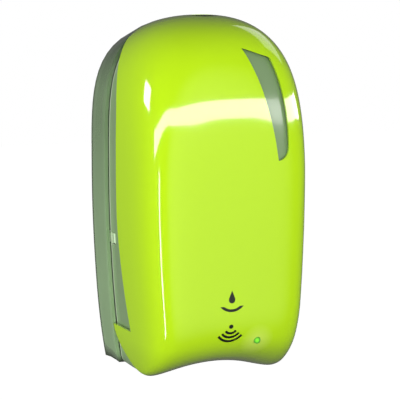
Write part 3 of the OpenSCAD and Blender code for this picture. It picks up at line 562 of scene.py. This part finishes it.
def front_shell(us, side_w, outer, inner, n):
    """A closed shell across the front, from one side edge to the other, between two insets."""
    ws = even_columns(us, side_w, n)
    grid = {}
    bm = bmesh.new()
    for k, g in enumerate((outer, inner)):
        points = inset(us[:, None], ws, g)
        made = {}
        for r in range(len(us)):
            for c in range(-n, n + 1):
                p = points[r, abs(c)]
                if c == 0 and us[r] >= 0.9999:
                    key = "pole"
                elif us[r] >= 1.9999:
                    key = ("crown", abs(c))
                else:
                    key = (r, c)
                if key not in made:
                    on_middle = key == "pole" or key[0] == "crown" or c == 0
                    x = 0 if on_middle else p[0] if c > 0 else -p[0]
                    made[key] = bm.verts.new(Vector((x, p[1], p[2] - FOOT)) * MM)
                grid[r, c, k] = made[key]
    last = len(us) - 1

    def add(*corners):
        corners = list(dict.fromkeys(corners))
        if len(corners) > 2:
            bm.faces.new(corners)

    for r in range(last):
        for c in range(-n, n):
            add(grid[r, c, 0], grid[r, c + 1, 0], grid[r + 1, c + 1, 0], grid[r + 1, c, 0])
            add(grid[r, c, 1], grid[r + 1, c, 1], grid[r + 1, c + 1, 1], grid[r, c + 1, 1])
        add(grid[r, -n, 0], grid[r + 1, -n, 0], grid[r + 1, -n, 1], grid[r, -n, 1])
        add(grid[r, n, 0], grid[r, n, 1], grid[r + 1, n, 1], grid[r + 1, n, 0])
    for c in range(-n, n):
        add(grid[0, c, 0], grid[0, c, 1], grid[0, c + 1, 1], grid[0, c + 1, 0])
    return bm


def row_list(low, top):
    return np.concatenate([np.linspace(0, 1, low + 1), 1 + np.linspace(0, 1, top + 1)[1:]])


# ---------------------------------------------------------------- front cover and hood

CLIP_Z, CLIP_X, CLIP_HOLE_R = (100, 190), 18, 1.45
WINDOW = (arc(-127.8, 180, 167, 20.4, -1.2, 30) + arc(30.6, 176.5, 8.56, -6, -87, 12)
          + arc(-219.7, 133.9, 253, 7.8, 26.1, 30))
LOCK_LOW, LOCK_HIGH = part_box("lock_barrel")
LOCK_Y, LOCK_R = (LOCK_LOW[1] + LOCK_HIGH[1]) / 2 / MM, (LOCK_HIGH[0] - LOCK_LOW[0]) / 2 / MM
LENS_HOLE = prism(circle(LED_X / MM, LED_Z / MM + FOOT, 2.55, 40), "y", -90, -140)
LEDGE_Z, PANE_TOP = 44.6, 251.0


def pane_cut():
    """What is cut from the cover's sides to show the hood, as a prism across the part."""
    def edge(z):
        return SEAM + 21 * (1 - (1 - clip((PANE_TOP - z) / 60)) ** 2) + 13 * clip((125 - z) / 80) ** 1.4
    zs = np.concatenate([np.linspace(LEDGE_Z, 186, 40), PANE_TOP - 60 * np.linspace(1, 0, 40) ** 1.6])
    side = [(-float(edge(z)), float(z)) for z in zs]
    return prism(side + [(-30, PANE_TOP), (-30, LEDGE_Z)], "x", -90, 90)


def eased(mesh, width, corner):
    """The mesh with its edges sharper than the corner angle rounded to the width in mm."""
    return shaped(mesh, ("BEVEL", {"width": width * MM, "segments": 2, "limit_method": "ANGLE",
                                   "angle_limit": radians(corner), "use_clamp_overlap": True}))


TAB_TOP_U = 0.46
rows = row_list(96, 72)[1:]
cover_edge = np.where(rows <= TAB_TOP_U, cover_side_w(rows), w_at_depth(rows, SEAM))
skin = eased(front_shell(rows, cover_edge, 0, SKIN_T, 72), 0.45, 50)
skin = combined(skin, "DIFFERENCE", pane_cut(), prism(WINDOW, "y", -90, -150),
                prism(circle(0, LOCK_Y, LOCK_R + 0.1), "z", 240, 280), LENS_HOLE)
piece("cover_skin", skin, "cover", "lime_plastic", ["front_cover"])

hood_rows = row_list(72, 56)
HOOD_INSET = SKIN_T + SKIN_GAP
hood = front_shell(hood_rows, w_at_depth(hood_rows, SEAM), HOOD_INSET, HOOD_INSET + HOOD_T, 60)
hood = eased(hood, 0.4, 50)
HINGE_Y, HINGE_Z, ARM_IN, ARM_OUT, LUG_R, BORE_R = 33, 19, 41.8, 45.6, 4.4, 1.65


def joined(*meshes):
    """One mesh with all the given meshes in it."""
    bm = bmesh.new()
    for mesh in meshes:
        bm.from_mesh(mesh)
    out = bpy.data.meshes.new("joined")
    bm.to_mesh(out)
    bm.free()
    return out


def hinge_arm(side):
    """The arm that reaches back from the hood's foot to one hinge pin, with its bore."""
    x0, x1 = sorted((side * ARM_IN, side * ARM_OUT))
    eye = prism(circle(-HINGE_Y, HINGE_Z, LUG_R, 48), "x", x0, x1)
    reach = prism(rectangle(-46, -HINGE_Y, HINGE_Z - 1, HINGE_Z + LUG_R), "x", x0, x1)
    foot = prism(rectangle(-46, -41, HINGE_Z - 1, HINGE_Z + LUG_R), "x", *sorted((side * ARM_IN, side * 51.5)))
    bore = prism(circle(-HINGE_Y, HINGE_Z, BORE_R, 32), "x", x0 - 1, x1 + 1)
    return combined(combined(eye, "UNION", reach, foot), "DIFFERENCE", bore)


catch_slots = [prism(rectangle(*sides, 102.7, 111.3), "y", -39, -48) for sides in ((50, 70), (-70, -50))]
clip_holes = [prism(circle(x, z, CLIP_HOLE_R, 24), "y", -100, -140) for x in (-CLIP_X, CLIP_X) for z in CLIP_Z]
hood = combined(hood, "DIFFERENCE", prism(circle(0, LOCK_Y, LOCK_R - 1.1), "z", 240, 280), LENS_HOLE,
                *catch_slots, *clip_holes)
piece("smoked_shell", joined(hood, hinge_arm(1), hinge_arm(-1)), "cover", "smoked_plastic", ["smoked_hood"])


# ---------------------------------------------------------------- the other CAD parts

def merged_copy(node):
    """A copy of a CAD node with its loose triangles joined and its flat faces made whole."""
    bm = bmesh.new()
    bm.from_mesh(NODES[node].data)
    bmesh.ops.remove_doubles(bm, verts=bm.verts, dist=1e-6)
    bmesh.ops.dissolve_limit(bm, angle_limit=radians(0.4), verts=bm.verts, edges=bm.edges)
    return bm


def rounded(node, width):
    """Stands for a CAD node with the same shape and its sharp edges eased."""
    mesh = eased(merged_copy(node), width, 40)
    for face in mesh.polygons:
        face.use_smooth = True
    mesh.set_sharp_from_angle(angle=radians(35))
    mesh = shaped(mesh, ("WEIGHTED_NORMAL", {"keep_sharp": True, "weight": 90}))
    return piece(node + "_finished", mesh, BODY[node], SLOT_OF[node], [node], smooth=0)


EASED = {
    "rear_housing": 0.4, "pump_chassis": 0.5, "battery_box": 0.4, "battery_door": 0.4, "tank_lid": 0.4, "tank": 0.6,
    "lock_keeper": 0.3, "pump_body": 0.4, "pump_cover": 0.4, "side_catches": 0.3, "lock_core": 0.25,
    "lock_barrel": 0.3, "lock_cam": 0.2, "lock_nut": 0.2, "gear_motor": 0.4, "switch_body": 0.2,
    "switch_slider": 0.2, "button_housing": 0.2, "dose_button": 0.3, "spout": 0.3, "duckbill_valve": 0.2,
    "sensor_window": 0.2, "board_parts": 0.15}
for node, width in EASED.items():
    rounded(node, width)


# ---------------------------------------------------------------- screws and springs grown on points

class Growth(Finish):
    """A Geometry Nodes tree that puts one shape on every point of a mesh, turned along its aim."""

    def __init__(self, name, *sizes):
        self.tree = bpy.data.node_groups.new(name, "GeometryNodeTree")
        face = self.tree.interface
        face.new_socket("Geometry", in_out="OUTPUT", socket_type="NodeSocketGeometry")
        face.new_socket("Points", in_out="INPUT", socket_type="NodeSocketGeometry")
        self.ids = {size: face.new_socket(size, in_out="INPUT", socket_type="NodeSocketFloat").identifier
                    for size in sizes}
        given = self.tree.nodes.new("NodeGroupInput").outputs
        self.given = {out.name: Value(self, out) for out in given if out.name}

    def moved(self, shape, z):
        by = self.node("ShaderNodeCombineXYZ", Z=z)["Vector"]
        return self.node("GeometryNodeTransform", Geometry=shape, Translation=by)["Geometry"]

    def joined(self, *shapes):
        join = self.tree.nodes.new("GeometryNodeJoinGeometry")
        for shape in shapes:
            self.tree.links.new(shape.socket, join.inputs[0])
        return Value(self, join.outputs[0])

    def close(self, shape, material):
        """Ends the tree: the shape on every point, made real and given its material."""
        aim = self.node("GeometryNodeInputNamedAttribute", {"data_type": "FLOAT_VECTOR"}, Name="aim")["Attribute"]
        turn = self.node("FunctionNodeAlignRotationToVector", {"axis": "Z"}, Vector=aim)["Rotation"]
        placed = self.node("GeometryNodeInstanceOnPoints", Points=self.given["Points"], Instance=shape,
                           Rotation=turn)
        real = self.node("GeometryNodeRealizeInstances", Geometry=placed["Instances"])["Geometry"]
        done = self.node("GeometryNodeSetMaterial", Geometry=real, Material=material)["Geometry"]
        self.tree.links.new(done.socket, self.tree.nodes.new("NodeGroupOutput").inputs[0])

    def grow(self, sites, **sizes):
        """The mesh the tree makes on the sites, each a place and an aim."""
        mesh = bpy.data.meshes.new("points")
        mesh.from_pydata([tuple(place) for place, _ in sites], [], [])
        aims = mesh.attributes.new("aim", "FLOAT_VECTOR", "POINT")
        aims.data.foreach_set("vector", [v for _, aim in sites for v in aim])
        thing = bpy.data.objects.new("points", mesh)
        scene.collection.objects.link(thing)
        modifier = thing.modifiers.new("grow", "NODES")
        modifier.node_group = self.tree
        for size, amount in sizes.items():
            modifier[self.ids[size.replace("_", " ")]] = float(amount)
        return baked(thing)


def screw_growth():
    """A pan head screw with a coiled thread. Each point is the middle of a head's top.

    The cross recess is not cut as meant: its two bars stay, and some heads lose their upper half.
    """
    tree = Growth("pan_head_screws", "Head Radius", "Head Height", "Shank Radius", "Shank Length", "Pitch")
    head_r, head_h, shank_r, length, pitch = (tree.given[name] for name in tree.ids)
    rim = tree.node("GeometryNodeMeshCylinder", Vertices=40, Radius=head_r, Depth=head_h * 0.5)["Mesh"]
    dome = tree.node("GeometryNodeMeshCone", Vertices=40, Radius_Top=head_r * 0.72, Radius_Bottom=head_r,
                     Depth=head_h * 0.5)["Mesh"]
    slots = []
    for long_way, short_way in ((1.15, 0.28), (0.28, 1.15)):
        size = tree.node("ShaderNodeCombineXYZ", X=head_r * long_way, Y=head_r * short_way, Z=head_h * 0.8)
        slots.append(tree.moved(tree.node("GeometryNodeMeshCube", Size=size["Vector"])["Mesh"], head_h * 0.5))
    crossed = tree.node("GeometryNodeMeshBoolean", {"operation": "UNION"}, at1=tree.joined(*slots))["Mesh"]
    dome = tree.node("GeometryNodeMeshBoolean", {"operation": "DIFFERENCE"}, at0=dome, at1=crossed)["Mesh"]
    core = tree.node("GeometryNodeMeshCylinder", Vertices=24, Radius=shank_r * 0.82, Depth=length)["Mesh"]
    coil = tree.node("GeometryNodeCurveSpiral", Resolution=24, Rotations=length / pitch,
                     Start_Radius=shank_r * 0.84, End_Radius=shank_r * 0.84, Height=length * 0.98)["Curve"]
    wire = tree.node("GeometryNodeCurvePrimitiveCircle", Resolution=6, Radius=shank_r * 0.14)["Curve"]
    thread = tree.node("GeometryNodeCurveToMesh", Curve=coil, Profile_Curve=wire, Fill_Caps=True)["Mesh"]
    tree.close(tree.joined(tree.moved(rim, head_h * -0.75), tree.moved(dome, head_h * -0.5),
                           tree.moved(core, length * -0.5 - head_h), tree.moved(thread, length * -0.99 - head_h)),
               FINISHES["steel"])
    return tree


def spring_growth():
    """A conical contact spring, widest at its foot. Each point is the middle of a foot."""
    tree = Growth("contact_springs", "Foot Radius", "Tip Radius", "Height", "Turns", "Wire Radius")
    foot_r, tip_r, height, turns, wire_r = (tree.given[name] for name in tree.ids)
    coil = tree.node("GeometryNodeCurveSpiral", Resolution=40, Rotations=turns, Start_Radius=foot_r,
                     End_Radius=tip_r, Height=height)["Curve"]
    wire = tree.node("GeometryNodeCurvePrimitiveCircle", Resolution=12, Radius=wire_r)["Curve"]
    swept = tree.node("GeometryNodeCurveToMesh", Curve=coil, Profile_Curve=wire, Fill_Caps=True)["Mesh"]
    tree.close(swept, FINISHES["steel"])
    return tree


def loose_parts(node):
    """The vertices of each loose part of a CAD node. A set gives them in an order that varies between runs."""
    bm = merged_copy(node)
    left, parts = set(bm.verts), []
    while left:
        part, edge = [], [left.pop()]
        while edge:
            vert = edge.pop()
            part.append(vert.co[:])
            for link in vert.link_edges:
                other = link.other_vert(vert)
                if other in left:
                    left.discard(other)
                    edge.append(other)
        parts.append(np.array(part))
    bm.free()
    return parts


def screw_fit(points):
    """The site and the sizes of one screw: its axis is its longest way and its head the wider end."""
    low, high = points.min(0), points.max(0)
    axis, middle = int(np.argmax(high - low)), (low + high) / 2
    away = np.linalg.norm(np.delete(points - middle, axis, 1), axis=1)
    along = points[:, axis]
    wide = along[away > away.max() * 0.95]
    side = 1 if wide.mean() > middle[axis] else -1
    middle[axis] = (high if side > 0 else low)[axis]
    tip = (low if side > 0 else high)[axis]
    return (middle, side * np.eye(3)[axis]), {
        "Head_Radius": away.max(), "Head_Height": np.ptp(wide),
        "Shank_Radius": away[abs(along - tip) < 0.1 * MM].max(), "Shank_Length": np.ptp(along) - np.ptp(wide)}


screws = screw_growth()
for node in ("chassis_screws", "motor_screws", "pump_screws", "keeper_screws", "cam_screw"):
    fits = [screw_fit(part) for part in loose_parts(node)]
    mesh = screws.grow([site for site, _ in fits], **fits[0][1], Pitch=0.9 * MM)
    piece(node + "_finished", mesh, BODY[node], SLOT_OF[node], [node])

springs = spring_growth()
WIRE_R = 0.3 * MM
PLATE_LOW, PLATE_HIGH = (corner[2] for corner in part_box("battery_plates"))
tall, short = [], []
for part in loose_parts("battery_springs"):
    low, high = part.min(0), part.max(0)
    middle, aim = (low + high) / 2, (0, 0, 1 if high[2] - PLATE_LOW < PLATE_HIGH - low[2] else -1)
    middle[2] = (low if aim[2] > 0 else high)[2] + aim[2] * WIRE_R
    (tall if high[2] - low[2] > 3 * MM else short).append((middle, aim, (high[0] - low[0]) / 2, high[2] - low[2]))
for name, found, turns, tip in (("tall_springs", tall, 4.5, 0.5), ("short_springs", short, 2.0, 0.72)):
    radius, height = found[0][2] - WIRE_R, found[0][3] - 2 * WIRE_R
    mesh = springs.grow([site[:2] for site in found], Foot_Radius=radius, Tip_Radius=radius * tip, Height=height,
                        Turns=turns, Wire_Radius=WIRE_R)
    piece(name, mesh, "base", "steel", ["battery_springs"] if name == "tall_springs" else [])

for node, thing in NODES.items():
    if not thing.hide_render:
        thing.data.materials.clear()
        thing.data.materials.append(FINISHES[SLOT_OF[node]])

# ---------------------------------------------------------------- light, floor and camera

FLOOR_Z = -1.6
floor_mesh = bmesh.new()
bmesh.ops.create_grid(floor_mesh, x_segments=2, y_segments=2, size=15)
floor_data = bpy.data.meshes.new("pale_floor")
floor_mesh.to_mesh(floor_data)
floor_mesh.free()
floor_data.transform(Matrix.Translation((0, 0, FLOOR_Z)))
floor = bpy.data.objects.new("pale_floor", floor_data)
scene.collection.objects.link(floor)
floor_data.materials.append(Finish("pale_floor", (0.92, 0.92, 0.92), 0.9, Emission_Color=(1, 1, 1, 1),
                                   Emission_Strength=0.9).material)
floor.visible_glossy = floor.visible_diffuse = False

world = bpy.data.worlds.new("studio")
scene.world = world
world.use_nodes = True
sky = world.node_tree


def sky_node(kind, **terms):
    node = sky.nodes.new(kind)
    for socket, term in terms.items():
        slot = node.inputs[socket.replace("_", " ")]
        if isinstance(term, bpy.types.NodeSocket):
            sky.links.new(term, slot)
        else:
            slot.default_value = term
    return node


# The studio is grey, paler in front of the object, and white where the camera sees it.
aim = sky_node("ShaderNodeVectorMath")
aim.operation = "DOT_PRODUCT"
sky.links.new(sky_node("ShaderNodeTexCoord").outputs["Generated"], aim.inputs[0])
aim.inputs[1].default_value = (sin(radians(2)), -cos(radians(2)), -0.12)
glow = sky_node("ShaderNodeMapRange", Value=aim.outputs["Value"], From_Min=0.6, From_Max=1.0, To_Min=0.12,
                To_Max=0.62)
glow.interpolation_type = "SMOOTHSTEP"
seen = sky_node("ShaderNodeLightPath").outputs["Is Camera Ray"]
level = sky_node("ShaderNodeMix", Factor=seen, A=glow.outputs["Result"], B=1.0)
backdrop = sky.nodes["Background"]
backdrop.inputs["Color"].default_value = (1, 1, 1, 1)
sky.links.new(level.outputs["Result"], backdrop.inputs["Strength"])
scene.view_settings.view_transform = "Standard"

MIDDLE = Vector((0, -0.060, -0.016))    # what the camera and the lights face


def way(azimuth, elevation):
    """A direction from the object. Azimuth 0 is in front of it and 90 to its right."""
    a, e = radians(azimuth), radians(elevation)
    return Vector((sin(a) * cos(e), -cos(a) * cos(e), sin(e)))


def softbox(name, azimuth, elevation, distance, across, high, watts):
    """A rectangular studio light that faces the object."""
    out = way(azimuth, elevation)
    data = bpy.data.lights.new(name, "AREA")
    data.shape, data.size, data.size_y, data.energy = "RECTANGLE", across, high, watts
    lamp = bpy.data.objects.new(name, data)
    lamp.location = MIDDLE + out * distance
    lamp.rotation_euler = out.to_track_quat("Z", "Y").to_euler()
    scene.collection.objects.link(lamp)
    return lamp


def band(name, path, high, radiance, distance=1.7):
    """A long curved light: a ribbon through (azimuth, elevation) points in degrees, that many degrees high."""
    finish = Finish(name, (0, 0, 0), 1.0, Emission_Color=(1, 1, 1, 1), Emission_Strength=radiance,
                    Specular_IOR_Level=0.0)
    bm = bmesh.new()
    edges = []
    turns = np.linspace(path[0][0], path[-1][0], 100)
    heights = np.interp(turns, *zip(*path))
    heights = np.convolve(np.pad(heights, 3, "edge"), np.ones(7) / 7, "valid")
    for azimuth, elevation in zip(turns, heights):
        edges.append([bm.verts.new(MIDDLE + distance * way(azimuth, elevation + offset))
                      for offset in (-high / 2, high / 2)])
    for (low_a, high_a), (low_b, high_b) in zip(edges, edges[1:]):
        bm.faces.new((low_a, high_a, high_b, low_b))
    mesh = bpy.data.meshes.new(name)
    bm.to_mesh(mesh)
    bm.free()
    mesh.materials.append(finish.material)
    ribbon = bpy.data.objects.new(name, mesh)
    scene.collection.objects.link(ribbon)
    ribbon.visible_camera = False


band("front_band", [(-98, 3), (-82, 8), (-63, 14), (-46, 16), (-15, 13), (2, 9), (17, 4.6), (25, 4.2), (36, 6),
                    (51, 9), (78, 10.5), (102, 8)], 7, 7.5)
softbox("left_strip", -76, -20, 1.5, 0.1, 0.95, 4.0)
softbox("left_patch", -120, 15, 1.5, 0.34, 0.27, 3.4)
softbox("crown_sheen", 122, 34, 2.0, 1.2, 0.7, 2.0)
softbox("left_fill", -100, -8, 2.2, 1.6, 1.6, 17.0).visible_glossy = False
softbox("front_fill", -14, -4, 2.2, 1.6, 1.6, 18.0).visible_glossy = False
softbox("top_fill", 20, 65, 2.4, 1.2, 1.2, 2.5).visible_glossy = False

camera = bpy.data.objects.new("camera", bpy.data.cameras.new("camera"))
scene.collection.objects.link(camera)
camera.data.lens, camera.data.sensor_width = 158.2, 36
CAMERA_WAY, CAMERA_DISTANCE = way(-22.25, 7.7), 1.2619
camera.location = MIDDLE + CAMERA_WAY * CAMERA_DISTANCE
camera.rotation_euler = CAMERA_WAY.to_track_quat("Z", "Y").to_euler()
scene.camera = camera
